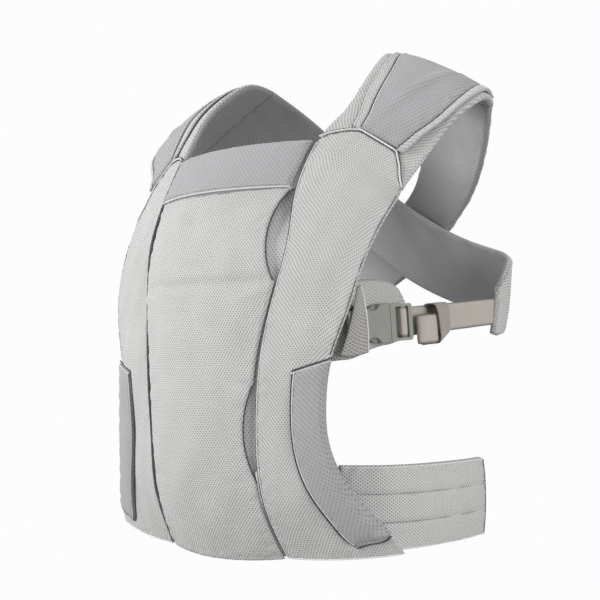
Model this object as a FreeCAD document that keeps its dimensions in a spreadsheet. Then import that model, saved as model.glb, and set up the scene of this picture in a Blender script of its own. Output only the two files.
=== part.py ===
# Soft structured baby carrier, worn shape, as separate sewn and moulded pieces.
# Frame: +X is the wearer's left, +Y the wearer's back, +Z up, in millimetres.
# The origin is the middle of the wearer's torso, level with the waistband's lower edge.
import FreeCAD
import Part
import Sketcher
import math
import os

os.makedirs("parts", exist_ok=True)
doc = FreeCAD.newDocument("baby_carrier")
Vector = FreeCAD.Vector
MIRROR = {"left": 1.0, "right": -1.0}

# ---------------------------------------------------------------- sizes
SIZES = {
    "panel_thickness": 6.0,
    "wing_thickness": 6.0,
    "lining_thickness": 2.5,
    "head_thickness": 9.0,
    "leg_pad_thickness": 13.0,
    "waistband_thickness": 12.0,
    "strap_thickness": 8.0,
    "shoulder_pad_thickness": 4.0,
    "buckle_pad_thickness": 6.0,
    "sleeve_thickness": 2.5,
    "webbing_width": 30.0,
    "webbing_thickness": 1.6,
    "buckle_thickness": 11.0,
    "cavity_depth": 34.5,
    "cavity_width": 31.0,
    "cavity_thickness": 6.4,
    "anchor_slot": 3.6,
    "slot_width": 32.0,
    "frame_thickness": 5.0,
    "head_block_thickness": 10.0,
    "tongue_width": 7.0,
    "tongue_thickness": 5.0,
    "prong_thickness": 6.0,
    "inner_slot": 9.4,
    "outer_slot": 5.4,
    "keeper_length": 32.0,
    "keeper_wall": 1.6,
}
sheet = doc.addObject("Spreadsheet::Sheet", "Sizes")
for row, (alias, value) in enumerate(SIZES.items(), start=1):
    sheet.set(f"A{row}", alias)
    sheet.set(f"B{row}", str(value))
    sheet.setAlias(f"B{row}", alias)
doc.recompute()
nodes = []


# ---------------------------------------------------------------- soft pieces
def flip(point, side):
    """A point of the left side, moved to the given side."""
    return Vector(point[0] * MIRROR[side], point[1], point[2])


def section(name, start, end, outward, bulge):
    """Sketch of one cross line of a soft piece, from start to end, bowed outward."""
    along = end - start
    width = along.Length
    along.normalize()
    out = outward - along * outward.dot(along)
    out.normalize()
    sketch = doc.addObject("Sketcher::SketchObject", name)
    turn = FreeCAD.Rotation(along, out, along.cross(out), "XYZ")
    sketch.Placement = FreeCAD.Placement((start + end) * 0.5, turn)
    curve = Part.BSplineCurve()
    curve.interpolate([Vector(-width / 2, 0, 0), Vector(0, bulge, 0), Vector(width / 2, 0, 0)])
    sketch.addGeometry(curve, False)
    sketch.Visibility = False
    return sketch


def soft_piece(name, stations, thickness, side="left"):
    """Lofted sheet through the stations, thickened toward the wearer.

    A station is (start, end, outward direction, bulge); the sheet is the outer face.
    """
    sections = []
    for number, (start, end, outward, bulge) in enumerate(stations):
        sections.append(
            section(f"{name}_line_{number}", flip(start, side), flip(end, side), flip(outward, side), bulge)
        )
    loft = doc.addObject("Part::Loft", name + "_face")
    loft.Sections = sections
    loft.Solid = False
    loft.Ruled = False
    doc.recompute()
    body = doc.addObject("Part::Offset", name)
    body.Label = name
    body.Source = loft
    body.Fill = True
    inward_sign = sheet_side(loft.Shape, flip(stations[len(stations) // 2][2], side))
    body.setExpression("Value", f"{inward_sign} * Sizes.{thickness}")
    nodes.append(body)
    return body


def sheet_side(shape, outward):
    """-1 if the face's normal points outward, else 1, so that thickness grows inward."""
    face = shape.Faces[0]
    low_u, high_u, low_v, high_v = face.ParameterRange
    normal = face.normalAt((low_u + high_u) / 2, (low_v + high_v) / 2)
    return -1 if normal.dot(outward) > 0 else 1


FRONT = (0.0, -1.0, 0.0)
FRONT_SIDE = (0.42, -0.91, 0.0)
SIDE = (1.0, -0.25, 0.0)

# Centre panel: height, seam half-width, seam depth and front depth.
PANEL = [
    (1.0, 80.5, -119.0, -135.0),
    (40.0, 77.0, -142.0, -158.0),
    (120.0, 74.5, -161.0, -178.0),
    (210.0, 80.0, -162.0, -180.0),
    (320.0, 99.0, -144.0, -167.0),
    (380.0, 95.5, -126.0, -153.0),
]
# The lower hem dips toward the middle, and the other cross lines are level.
PANEL_OUTWARD = [(0.0, -1.0, -0.35)] + [FRONT] * (len(PANEL) - 1)
soft_piece(
    "center_panel",
    [((-w, y, z), (w, y, z), out, y - front) for (z, w, y, front), out in zip(PANEL, PANEL_OUTWARD)],
    "panel_thickness",
)

# Head support: hinged flap above the centre panel, leaning back toward the head.
HEAD = [(383.5, 94.0, -126.5, -153.5), (410.0, 96.5, -109.5, -136.0), (436.0, 98.0, -93.0, -117.0)]
soft_piece(
    "head_support",
    [((-w, y, z), (w, y, z), FRONT, y - front) for z, w, y, front in HEAD],
    "head_thickness",
)

# Lining behind the centre panel, seen through the side slits.
LINING = [
    (18.0, 88.0, -112.0, -133.0),
    (60.0, 90.0, -134.0, -157.0),
    (120.0, 92.0, -143.0, -168.0),
    (210.0, 96.0, -145.0, -170.0),
    (310.0, 110.0, -128.0, -158.0),
    (370.0, 106.0, -109.0, -144.0),
]
soft_piece(
    "inner_lining",
    [((-w, y, z), (w, y, z), FRONT, y - front) for z, w, y, front in LINING],
    "lining_thickness",
)

# Wing: seam point, free edge point and bulge, from the leg pad up to the strap seam.
WING = [
    ((81.5, -161.5, 201.0), (154.0, -136.0, 204.0), 4.0),
    ((88.5, -156.0, 250.0), (169.0, -128.5, 250.0), 4.0),
    ((98.0, -146.5, 300.0), (180.5, -115.0, 302.0), 5.0),
    ((101.5, -138.0, 340.0), (190.0, -95.0, 343.0), 6.0),
    ((98.5, -123.0, 385.0), (195.5, -81.0, 364.0), 6.0),
    ((101.5, -94.5, 434.0), (197.0, -75.0, 375.0), 4.0),
]
# Side panel under the wing, between the centre panel and the leg pad.
SIDE_PANEL = [
    ((82.5, -118.5, 2.0), (166.0, -98.0, 8.0), 2.0),
    ((78.5, -141.0, 40.0), (141.0, -121.5, 40.0), 2.0),
    ((77.0, -154.5, 75.0), (123.0, -139.5, 75.0), 2.0),
    ((76.0, -160.0, 120.0), (116.0, -147.5, 120.0), 2.0),
    ((78.0, -162.0, 160.0), (115.5, -151.0, 160.0), 2.0),
    ((81.0, -161.5, 196.5), (117.5, -151.5, 196.5), 2.0),
]
# Leg pad: sewn edge and rounded free edge beside the leg opening.
LEG_PAD = [
    ((168.0, -97.0, 8.5), (203.5, -85.0, 15.0), 3.0),
    ((143.0, -121.0, 40.0), (193.5, -98.0, 38.0), 4.0),
    ((125.0, -139.0, 75.0), (168.5, -121.5, 74.0), 4.0),
    ((118.0, -147.0, 120.0), (151.5, -138.5, 120.0), 4.0),
    ((117.5, -150.5, 160.0), (149.5, -140.5, 160.0), 4.0),
    ((119.5, -150.5, 194.0), (151.5, -138.5, 196.0), 3.0),
]
for side in MIRROR:
    for label, table, thickness in (
        ("wing", WING, "wing_thickness"),
        ("side_panel", SIDE_PANEL, "panel_thickness"),
        ("leg_pad", LEG_PAD, "leg_pad_thickness"),
    ):
        stations = [(seam, edge, FRONT_SIDE, bulge) for seam, edge, bulge in table]
        soft_piece(f"{side}_{label}", stations, thickness, side)

# Waistband: plan points of the outer face, its outward direction and lower and upper heights.
WAIST_FRONT = [
    ((-124.0, -92.0), (-0.5, -0.9)),
    ((-65.0, -111.0), (-0.2, -1.0)),
    ((0.0, -118.0), (0.0, -1.0)),
    ((65.0, -111.0), (0.2, -1.0)),
    ((124.0, -92.0), (0.5, -0.9)),
]
WAIST_ARM = [
    ((126.5, -90.5), (0.5, -0.9)),
    ((160.0, -62.0), (0.8, -0.6)),
    ((176.0, -25.0), (1.0, -0.25)),
    ((182.0, 30.0), (1.0, 0.0)),
    ((180.0, 80.0), (1.0, 0.06)),
    ((175.5, 112.0), (1.0, 0.15)),
]
WAIST_LOW = 10.0
WAIST_HIGH = 98.0


def upright(points, low, high, bulge):
    """Stations of a band that stands on edge and follows plan points."""
    return [((x, y, low), (x, y, high), (nx, ny, 0.0), bulge) for (x, y), (nx, ny) in points]


soft_piece("waistband_front", upright(WAIST_FRONT, WAIST_LOW, WAIST_HIGH, 2.0), "waistband_thickness")
for side in MIRROR:
    soft_piece(
        f"{side}_waistband_arm",
        upright(WAIST_ARM, WAIST_LOW, WAIST_HIGH, 3.0),
        "waistband_thickness",
        side,
    )

# Shoulder strap: neck-side edge, outer edge, outward direction and bulge.
STRAP = [
    ((102.0, -91.0, 439.0), (197.5, -72.5, 379.0), (0.3, -0.8, 0.5), 4.0),
    ((113.0, -60.0, 474.0), (212.0, -40.0, 422.0), (0.35, -0.75, 0.6), 5.0),
    ((116.0, -38.0, 502.0), (226.0, -25.0, 449.0), (0.4, -0.65, 0.65), 6.0),
    ((112.0, -5.0, 534.0), (238.0, -6.0, 469.0), (0.4, -0.4, 0.85), 6.0),
    ((105.0, 27.0, 554.0), (241.0, 20.0, 482.0), (0.4, -0.1, 0.9), 3.5),
    ((98.0, 66.0, 552.0), (228.0, 58.0, 481.0), (0.45, 0.35, 0.85), 3.0),
]
BACK_STRAP = [
    ((97.4, 69.2, 550.9), (226.2, 61.6, 479.3), (0.45, 0.38, 0.85), 3.0),
    ((84.0, 112.0, 527.0), (188.0, 106.0, 450.0), (0.45, 0.65, 0.6), 4.0),
    ((56.0, 160.0, 484.0), (128.0, 162.0, 410.0), (0.35, 0.9, 0.3), 4.0),
    ((14.0, 195.0, 432.0), (62.0, 196.0, 366.0), (0.1, 1.0, 0.0), 3.0),
    ((-44.0, 206.0, 388.0), (-6.0, 206.0, 316.0), (0.0, 1.0, 0.0), 2.0),
    ((-102.0, 207.0, 357.0), (-76.0, 206.0, 281.0), (-0.1, 1.0, 0.0), 2.0),
    ((-150.0, 200.0, 340.0), (-138.0, 194.0, 258.0), (-0.5, 0.85, 0.0), 3.0),
    ((-177.0, 177.0, 325.0), (-172.0, 168.0, 241.0), (-0.95, 0.3, 0.0), 3.0),
    ((-180.0, 155.0, 305.0), (-178.0, 147.0, 234.0), (-1.0, 0.05, 0.0), 2.0),
    ((-178.0, 141.0, 288.0), (-177.0, 135.0, 236.0), (-1.0, 0.0, 0.0), 1.0),
]
# The left strap crosses outside the right one, so its back part stands further out.
OUTER_LAYER = [0.0, 6.0, 18.0, 24.0, 22.0, 16.0, 8.0, 2.0, 0.0, 0.0]
# Padded dark layer on top of the strap, narrower than the strap by both hems.
PAD_HEM = 0.17
PAD_RISE = 0.9
PAD_BULGE = 0.56

for side in MIRROR:
    soft_piece(f"{side}_shoulder_strap", STRAP, "strap_thickness", side)
    layers = OUTER_LAYER if side == "left" else [0.0] * len(OUTER_LAYER)
    back = []
    for (start, end, outward, bulge), lift in zip(BACK_STRAP, layers):
        raised = [(point[0], point[1] + lift, point[2]) for point in (start, end)]
        back.append((raised[0], raised[1], outward, bulge))
    soft_piece(f"{side}_back_strap", back, "strap_thickness", side)
    pad = []
    for start, end, outward, bulge in STRAP:
        out = Vector(*outward).normalize() * (SIZES["shoulder_pad_thickness"] + PAD_RISE + bulge * PAD_BULGE)
        first = Vector(*start) + (Vector(*end) - Vector(*start)) * PAD_HEM + out
        last = Vector(*end) + (Vector(*start) - Vector(*end)) * PAD_HEM + out
        pad.append((tuple(first), tuple(last), outward, bulge * (1 - PAD_BULGE)))
    soft_piece(f"{side}_shoulder_pad", pad, "shoulder_pad_thickness", side)

# Flap behind the side buckle and mesh sleeve over its sewn end: low and high points.
BUCKLE_PAD = [
    ((141.0, -127.0, 202.0), (146.0, -124.0, 277.0), 1.0),
    ((151.5, -122.0, 203.0), (154.5, -119.0, 278.0), 1.0),
    ((156.5, -110.0, 204.0), (156.5, -110.0, 281.0), 1.0),
    ((160.5, -85.0, 212.0), (160.5, -85.0, 286.0), 1.0),
    ((164.5, -60.0, 219.0), (164.5, -60.0, 286.0), 1.0),
    ((167.5, -39.0, 225.0), (167.5, -39.0, 278.0), 1.0),
    ((169.0, -30.0, 233.0), (169.0, -30.0, 266.0), 0.5),
]
SLEEVE = [
    ((159.5, -129.0, 207.0), (171.0, -116.5, 276.0), 3.0),
    ((166.5, -121.5, 206.0), (172.5, -113.5, 277.0), 3.5),
    ((175.5, -103.0, 211.0), (171.0, -110.5, 277.0), 4.0),
]
for side in MIRROR:
    soft_piece(
        f"{side}_buckle_pad",
        [(low, high, SIDE, bulge) for low, high, bulge in BUCKLE_PAD],
        "buckle_pad_thickness",
        side,
    )
    soft_piece(
        f"{side}_buckle_sleeve", [(low, high, SIDE, b) for low, high, b in SLEEVE], "sleeve_thickness", side
    )


# ---------------------------------------------------------------- moulded and woven pieces
def plane_of(body, role):
    """One of the body's own origin planes."""
    return next(item for item in body.Origin.OriginFeatures if item.Role == role)


def new_body(name, placement):
    body = doc.addObject("PartDesign::Body", name)
    body.Label = name
    body.Placement = placement
    nodes.append(body)
    return body


def new_sketch(body, role, tag):
    sketch = body.newObject("Sketcher::SketchObject", f"{body.Name}_{tag}")
    sketch.AttachmentSupport = [(plane_of(body, role), "")]
    sketch.MapMode = "FlatFace"
    sketch.Visibility = False
    return sketch


def rectangle(body, tag, left, width, height, low=None, role="XZ_Plane"):
    """Rectangle in an origin plane; width and height are size names or numbers.

    Without a low edge the rectangle is centred on the sketch's x axis.
    """
    sketch = new_sketch(body, role, tag)
    wide = SIZES.get(width, width)
    tall = SIZES.get(height, height)
    base = -tall / 2 if low is None else low
    corners = [(left, base), (left + wide, base), (left + wide, base + tall), (left, base + tall)]
    for number in range(4):
        start = Vector(*corners[number], 0)
        end = Vector(*corners[(number + 1) % 4], 0)
        sketch.addGeometry(Part.LineSegment(start, end), False)
    for number in range(4):
        sketch.addConstraint(Sketcher.Constraint("Coincident", number, 2, (number + 1) % 4, 1))
    for number, kind in enumerate(("Horizontal", "Vertical", "Horizontal", "Vertical")):
        sketch.addConstraint(Sketcher.Constraint(kind, number))
    across = sketch.addConstraint(Sketcher.Constraint("DistanceX", 0, 1, 0, 2, wide))
    up = sketch.addConstraint(Sketcher.Constraint("DistanceY", 1, 1, 1, 2, tall))
    sketch.addConstraint(Sketcher.Constraint("DistanceX", -1, 1, 0, 1, left))
    shift = sketch.addConstraint(Sketcher.Constraint("DistanceY", -1, 1, 0, 1, base))
    if width in SIZES:
        sketch.setExpression(f"Constraints[{across}]", f"Sizes.{width}")
    if height in SIZES:
        sketch.setExpression(f"Constraints[{up}]", f"Sizes.{height}")
        if low is None:
            sketch.setExpression(f"Constraints[{shift}]", f"-Sizes.{height} / 2")
    return sketch


def outline(body, tag, points):
    """Closed sketch of straight lines through the points, in the body's XZ plane."""
    sketch = new_sketch(body, "XZ_Plane", tag)
    count = len(points)
    for number, point in enumerate(points):
        end = points[(number + 1) % count]
        sketch.addGeometry(Part.LineSegment(Vector(*point, 0), Vector(*end, 0)), False)
    for number in range(count):
        sketch.addConstraint(Sketcher.Constraint("Coincident", number, 2, (number + 1) % count, 1))
    return sketch


def slab(body, sketch, thickness, kind="Pad"):
    """Pad or pocket centred on the sketch plane; thickness is a size name or a number."""
    feature = body.newObject(f"PartDesign::{kind}", f"{sketch.Name}_{kind}")
    feature.Profile = sketch
    feature.Length = SIZES.get(thickness, thickness)
    if thickness in SIZES:
        feature.setExpression("Length", f"Sizes.{thickness}")
    feature.Midplane = True
    return feature


def rounded(body, feature, level, radius):
    """Fillet of the feature's edges that lie on its two outer faces, at y = level and -level."""
    doc.recompute()
    names = []
    for number, edge in enumerate(feature.Shape.Edges, start=1):
        box = edge.BoundBox
        if abs(box.YMin - box.YMax) < 1e-6 and abs(abs(box.YMin) - level) < 1e-6:
            names.append(f"Edge{number}")
    fillet = body.newObject("PartDesign::Fillet", f"{feature.Name}_round")
    fillet.Base = (feature, names)
    fillet.Radius = radius
    doc.recompute()
    return fillet


def mirrored(points):
    """The upper half of an outline, completed with its mirror image below the x axis."""
    return points + [(x, -z) for x, z in reversed(points)]


# Side release buckle, in its own frame: +x is the release direction, +y outward, z its width.
# The mouth of the socket half lies at x = 0.
SOCKET_OUTLINE = [
    (-44.0, 18.5), (-42.5, 19.8), (-36.0, 19.8), (-33.5, 18.6), (-31.0, 15.4), (-27.5, 14.0), (-22.0, 13.8),
    (-18.0, 15.0), (-15.0, 18.2), (-12.5, 19.8), (-2.0, 20.2), (0.0, 19.6),
]
PRONG_OUTLINE = [
    (0.2, 7.4), (0.2, 9.9), (-8.0, 11.0), (-18.0, 12.8), (-18.9, 18.3), (-20.5, 19.0), (-24.0, 18.1),
    (-28.5, 15.6), (-31.5, 12.4), (-31.0, 10.9), (-27.0, 10.2), (-8.0, 8.2),
]
HEAD_OUTLINE = [(0.8, 18.8), (2.2, 19.6), (7.5, 19.6), (8.6, 18.8)]
FRAME_OUTLINE = [(8.0, 19.0), (32.0, 19.0), (34.0, 16.5)]


def socket_half(name, placement):
    body = new_body(name, placement)
    block = slab(body, outline(body, "outline", mirrored(SOCKET_OUTLINE)), "buckle_thickness")
    rounded(body, block, SIZES["buckle_thickness"] / 2, 1.4)
    cavity = rectangle(body, "cavity", -SIZES["cavity_depth"], 40.0, "cavity_width")
    slab(body, cavity, "cavity_thickness", "Pocket")
    slot = rectangle(body, "slot", -40.8, "anchor_slot", "slot_width")
    slab(body, slot, 20.0, "Pocket")
    for sign in (-1.0, 1.0):
        recess = rectangle(body, "recess_out" if sign > 0 else "recess_in", -46.0, 5.4, "slot_width")
        recess.AttachmentOffset = FreeCAD.Placement(Vector(0, 0, sign * 6.0), FreeCAD.Rotation())
        slab(body, recess, 6.4, "Pocket")
    return body


def plug_half(name, placement):
    body = new_body(name, placement)
    head = slab(body, outline(body, "head", mirrored(HEAD_OUTLINE)), "head_block_thickness")
    rounded(body, head, SIZES["head_block_thickness"] / 2, 1.2)
    slab(body, outline(body, "frame", mirrored(FRAME_OUTLINE)), "frame_thickness")
    slab(body, rectangle(body, "tongue", -29.0, 31.0, "tongue_width"), "tongue_thickness")
    for tag, left in (("inner_slot", 9.2), ("outer_slot", 23.4)):
        slab(body, rectangle(body, tag, left, tag, "slot_width"), 20.0, "Pocket")
    return body


def prong(name, placement, sign):
    """Sprung arm of the plug half; sign picks the arm on the +z or -z side."""
    body = new_body(name, placement)
    slab(body, outline(body, "arm", [(x, sign * z) for x, z in PRONG_OUTLINE]), "prong_thickness")
    return body


def woven(name, placement, points, width="webbing_width"):
    """Flat webbing seen from its edge: a closed outline in x and y, as wide as the webbing."""
    body = new_body(name, placement)
    sketch = new_sketch(body, "XY_Plane", "edge")
    count = len(points)
    for number, point in enumerate(points):
        end = points[(number + 1) % count]
        sketch.addGeometry(Part.LineSegment(Vector(*point, 0), Vector(*end, 0)), False)
    slab(body, sketch, width)
    return body


def doubled(path, thickness):
    """Outline of a ribbon of the given thickness along a path of x and y points."""
    left, right = [], []
    for number, (x, y) in enumerate(path):
        before = path[max(number - 1, 0)]
        after = path[min(number + 1, len(path) - 1)]
        first = Vector(x - before[0], y - before[1], 0)
        second = Vector(after[0] - x, after[1] - y, 0)
        first = first.normalize() if first.Length > 0 else Vector(second).normalize()
        second = second.normalize() if second.Length > 0 else first
        middle = (first + second).normalize()
        reach = thickness / 2 / max(middle.dot(first), 0.5)
        left.append((x - middle.y * reach, y + middle.x * reach))
        right.append((x + middle.y * reach, y - middle.x * reach))
    return left + right[::-1]


# Webbing turned round the plug's middle bar; its two ends leave under the outer bar.
WRAP_PATH = [
    (36.0, -3.7), (26.6, -3.7), (25.0, -2.6), (24.6, 0.0), (24.4, 2.8), (23.0, 3.7), (19.0, 3.7),
    (17.6, 2.8), (17.4, 0.0), (17.4, -3.0), (17.8, -5.0), (19.2, -5.9), (36.0, -5.9),
]
# Webbing sewn round the socket's end bar.
ANCHOR_PATH = [
    (-54.0, -1.1), (-48.0, -1.4), (-45.4, -3.9), (-39.0, -3.9),
    (-39.0, 3.9), (-45.4, 3.9), (-48.0, 1.4), (-54.0, 1.1),
]


def frame_at(origin, along, outward):
    """Placement with local x along, local y outward and local z across the webbing."""
    first = Vector(*along).normalize()
    second = Vector(*outward)
    second = (second - first * first.dot(second)).normalize()
    return FreeCAD.Placement(Vector(*origin), FreeCAD.Rotation(first, second, first.cross(second), "XYZ"))


def release_buckle(name, placement):
    """Both halves of a buckle, its two sprung arms and the webbing on each half."""
    socket_half(f"{name}_buckle_socket", placement)
    plug_half(f"{name}_buckle_plug", placement)
    prong(f"{name}_buckle_prong_a", placement, 1.0)
    prong(f"{name}_buckle_prong_b", placement, -1.0)
    thick = SIZES["webbing_thickness"]
    woven(f"{name}_webbing_wrap", placement, doubled(WRAP_PATH, thick))
    woven(f"{name}_webbing_anchor", placement, doubled(ANCHOR_PATH, thick))


# Side buckles: mouth of the left socket, and where the webbing leaves the plug and meets the strap.
SIDE_MOUTH = (173.0, -68.6, 241.4)
SIDE_ALONG = (0.173, 0.981, 0.087)
SIDE_OUTWARD = (0.985, -0.173, 0.0)
WEBBING_START = (175.2, -31.0, 244.7)
WEBBING_END = (174.0, 133.5, 261.5)
WEBBING_GAP = 1.0
# Rolled tail, flattened: middle, half sizes and how far it hangs below the webbing.
ROLL_MIDDLE = (18.4, 8.4)
ROLL_HALF = (17.0, 6.6)
ROLL_DROP = 10.0
# Elastic keeper: its middle along the webbing, inner and outer faces, height and drop.
KEEPER_MIDDLE = 42.0
KEEPER_INNER = -3.4
KEEPER_DEPTH = 21.6
KEEPER_HEIGHT = 44.0
KEEPER_DROP = 5.0

for side, sign in MIRROR.items():
    mouth = flip(SIDE_MOUTH, side)
    along = flip(SIDE_ALONG, side)
    outward = flip(SIDE_OUTWARD, side)
    release_buckle(side, frame_at(mouth, along, outward))

    run = Vector(*WEBBING_END) - Vector(*WEBBING_START)
    strap_frame = frame_at(flip(WEBBING_START, side), flip(run, side), (sign, 0.0, 0.0))
    webbing = new_body(f"{side}_side_webbing", strap_frame)
    strip = rectangle(webbing, "strip", WEBBING_GAP, run.Length - WEBBING_GAP, "webbing_width")
    slab(webbing, strip, "webbing_thickness")

    turns = [2 * math.pi * step / 24 for step in range(24)]
    spiral = [
        (ROLL_MIDDLE[0] + ROLL_HALF[0] * math.cos(turn), ROLL_MIDDLE[1] + ROLL_HALF[1] * math.sin(turn))
        for turn in turns
    ]
    roll_frame = FreeCAD.Placement(strap_frame)
    roll_frame.Base.z -= ROLL_DROP
    woven(f"{side}_webbing_roll", roll_frame, spiral)

    band_frame = strap_frame.multiply(FreeCAD.Placement(Vector(KEEPER_MIDDLE, 0, 0), FreeCAD.Rotation()))
    band_frame.Base.z -= KEEPER_DROP
    band = new_body(f"{side}_webbing_keeper", band_frame)
    wall = SIZES["keeper_wall"]
    outside = rectangle(band, "outside", KEEPER_INNER, KEEPER_DEPTH, KEEPER_HEIGHT, role="YZ_Plane")
    slab(band, outside, "keeper_length")
    depth = KEEPER_DEPTH - 2 * wall
    height = KEEPER_HEIGHT - 2 * wall
    inside = rectangle(band, "inside", KEEPER_INNER + wall, depth, height, role="YZ_Plane")
    slab(band, inside, 60.0, "Pocket")

# Waist buckle behind the back, with the webbing that runs round to each waistband arm.
WAIST_MOUTH = (0.0, 168.0, 53.0)
release_buckle("waist", frame_at(WAIST_MOUTH, (1.0, 0.0, 0.0), (0.0, 1.0, 0.0)))
WAIST_WEBBING = {
    "left": [((38.0, 165.1), (0.0, 1.0)), ((70.0, 162.5), (0.15, 1.0))],
    "right": [((55.5, 168.8), (0.1, 1.0)), ((80.0, 163.0), (0.25, 1.0))],
}
WAIST_WEBBING_REST = [
    ((106.0, 153.5), (0.4, 0.9)),
    ((138.0, 136.0), (0.6, 0.8)),
    ((158.0, 112.0), (0.9, 0.4)),
]
half_width = SIZES["webbing_width"] / 2
for side, start in WAIST_WEBBING.items():
    low, high = WAIST_MOUTH[2] - half_width, WAIST_MOUTH[2] + half_width
    stations = upright(start + WAIST_WEBBING_REST, low, high, 0.0)
    soft_piece(f"{side}_waist_webbing", stations, "webbing_thickness", side)

# ---------------------------------------------------------------- checks and export
doc.recompute()
for item in doc.Objects:
    if "Invalid" in item.State or "Error" in item.State:
        raise RuntimeError(f"{item.Name} is {item.State}")
for node in nodes:
    shape = node.Shape
    if shape.isNull() or not shape.isValid() or len(shape.Solids) != 1:
        raise RuntimeError(f"{node.Label}: not one valid solid ({len(shape.Solids)} solids)")
    shape.exportStep(f"parts/{node.Label}.step")
    print(f"{node.Label}: {shape.Volume / 1000:.1f} cm3")
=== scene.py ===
"""Soft baby carrier in its worn shape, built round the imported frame."""

import math

import bpy
import numpy as np
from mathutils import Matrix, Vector


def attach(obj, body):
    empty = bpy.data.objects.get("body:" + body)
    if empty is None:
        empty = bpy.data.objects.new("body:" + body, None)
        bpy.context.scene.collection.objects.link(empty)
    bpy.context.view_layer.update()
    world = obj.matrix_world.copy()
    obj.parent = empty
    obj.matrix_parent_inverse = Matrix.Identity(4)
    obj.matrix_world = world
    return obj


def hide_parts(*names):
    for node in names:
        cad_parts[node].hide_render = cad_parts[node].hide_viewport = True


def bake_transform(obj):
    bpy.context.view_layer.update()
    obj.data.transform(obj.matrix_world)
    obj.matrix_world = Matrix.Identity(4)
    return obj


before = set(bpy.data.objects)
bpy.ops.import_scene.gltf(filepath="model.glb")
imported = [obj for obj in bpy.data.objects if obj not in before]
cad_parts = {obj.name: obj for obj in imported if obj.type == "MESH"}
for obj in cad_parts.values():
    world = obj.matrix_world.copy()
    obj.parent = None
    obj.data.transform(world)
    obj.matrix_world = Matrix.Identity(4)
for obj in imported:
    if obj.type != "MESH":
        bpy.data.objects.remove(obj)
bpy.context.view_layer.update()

MM = 0.001
SIDES = {"left": 1.0, "right": -1.0}


# -------- materials
def set_inputs(node, values):
    """Sets the default values of a node's inputs by name."""
    for key, value in values.items():
        node.inputs[key].default_value = value


def math_node(tree, operation, first, second=0):
    node = tree.nodes.new("ShaderNodeMath")
    node.operation = operation
    for socket, value in zip(node.inputs, (first, second)):
        if isinstance(value, (int, float)):
            socket.default_value = value
        else:
            tree.links.new(value, socket)
    return node.outputs[0]


def product(tree, *factors):
    """Shader values multiplied together, from the first to the last."""
    result = factors[0]
    for factor in factors[1:]:
        result = math_node(tree, "MULTIPLY", result, factor)
    return result


def vector_node(tree, operation, first, second=None):
    node = tree.nodes.new("ShaderNodeVectorMath")
    node.operation = operation
    tree.links.new(first, node.inputs[0])
    if second is not None:
        node.inputs[1].default_value = second
    return node.outputs["Value" if operation == "LENGTH" else "Vector"]


def lattice_distance(tree, uv, pitch):
    """Distance in metres from the nearest point of a staggered lattice of holes."""
    wide, tall = pitch
    scaled = vector_node(tree, "MULTIPLY", uv, (1 / wide, 1 / tall, 0))
    found = []
    for shift in (0, 0.5):
        moved = vector_node(tree, "ADD", scaled, (shift, shift, 0))
        cell = vector_node(tree, "FRACTION", moved)
        centred = vector_node(tree, "SUBTRACT", cell, (0.5, 0.5, 0))
        metric = vector_node(tree, "MULTIPLY", centred, (wide, tall, 0))
        found.append(vector_node(tree, "LENGTH", metric))
    return math_node(tree, "MINIMUM", found[0], found[1])


def noise(tree, vector, scale, detail=2):
    node = tree.nodes.new("ShaderNodeTexNoise")
    set_inputs(node, {"Scale": scale, "Detail": detail})
    tree.links.new(vector, node.inputs["Vector"])
    return node.outputs["Fac"]


def ramp(tree, value, low, high, to_low, to_high):
    """A value mapped smoothly from low..high to to_low..to_high."""
    node = tree.nodes.new("ShaderNodeMapRange")
    node.interpolation_type = "SMOOTHSTEP"
    tree.links.new(value, node.inputs["Value"])
    set_inputs(node, {"From Min": low, "From Max": high, "To Min": to_low, "To Max": to_high})
    return node.outputs["Result"]


def noise_shade(tree, value, darkest, lightest):
    """Brightness factor that follows a noise, whose values lie mostly from 0.3 to 0.7."""
    return ramp(tree, value, 0.3, 0.7, darkest, lightest)


def painted_seam_shade(tree, reach):
    """Painted shade: brightness factor a little darker within reach of a seam, in metres."""
    seam = tree.nodes.new("ShaderNodeAttribute")
    seam.attribute_name = "seam"
    return ramp(tree, seam.outputs["Fac"], 0, reach, 0.90, 1)


def new_material(name):
    material = bpy.data.materials.new(name)
    material.use_nodes = True
    return material, material.node_tree


def finish_shader(material, factor, height, colour, bump_distance, roughness, sheen, bump=0.7, specular=0.25):
    """Colour scaled by factor, bump from height, uniform values straight on the shader."""
    tree = material.node_tree
    shader = tree.nodes["Principled BSDF"]
    tint = tree.nodes.new("ShaderNodeVectorMath")
    tint.operation = "SCALE"
    tint.inputs[0].default_value = colour
    tree.links.new(factor, tint.inputs["Scale"])
    tree.links.new(tint.outputs[0], shader.inputs["Base Color"])
    relief = tree.nodes.new("ShaderNodeBump")
    set_inputs(relief, {"Strength": bump, "Distance": bump_distance})
    tree.links.new(height, relief.inputs["Height"])
    tree.links.new(relief.outputs["Normal"], shader.inputs["Normal"])
    set_inputs(shader, {"Roughness": roughness, "Specular IOR Level": specular})
    set_inputs(shader, {"Sheen Weight": sheen, "Sheen Roughness": 0.5})
    return material


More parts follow.
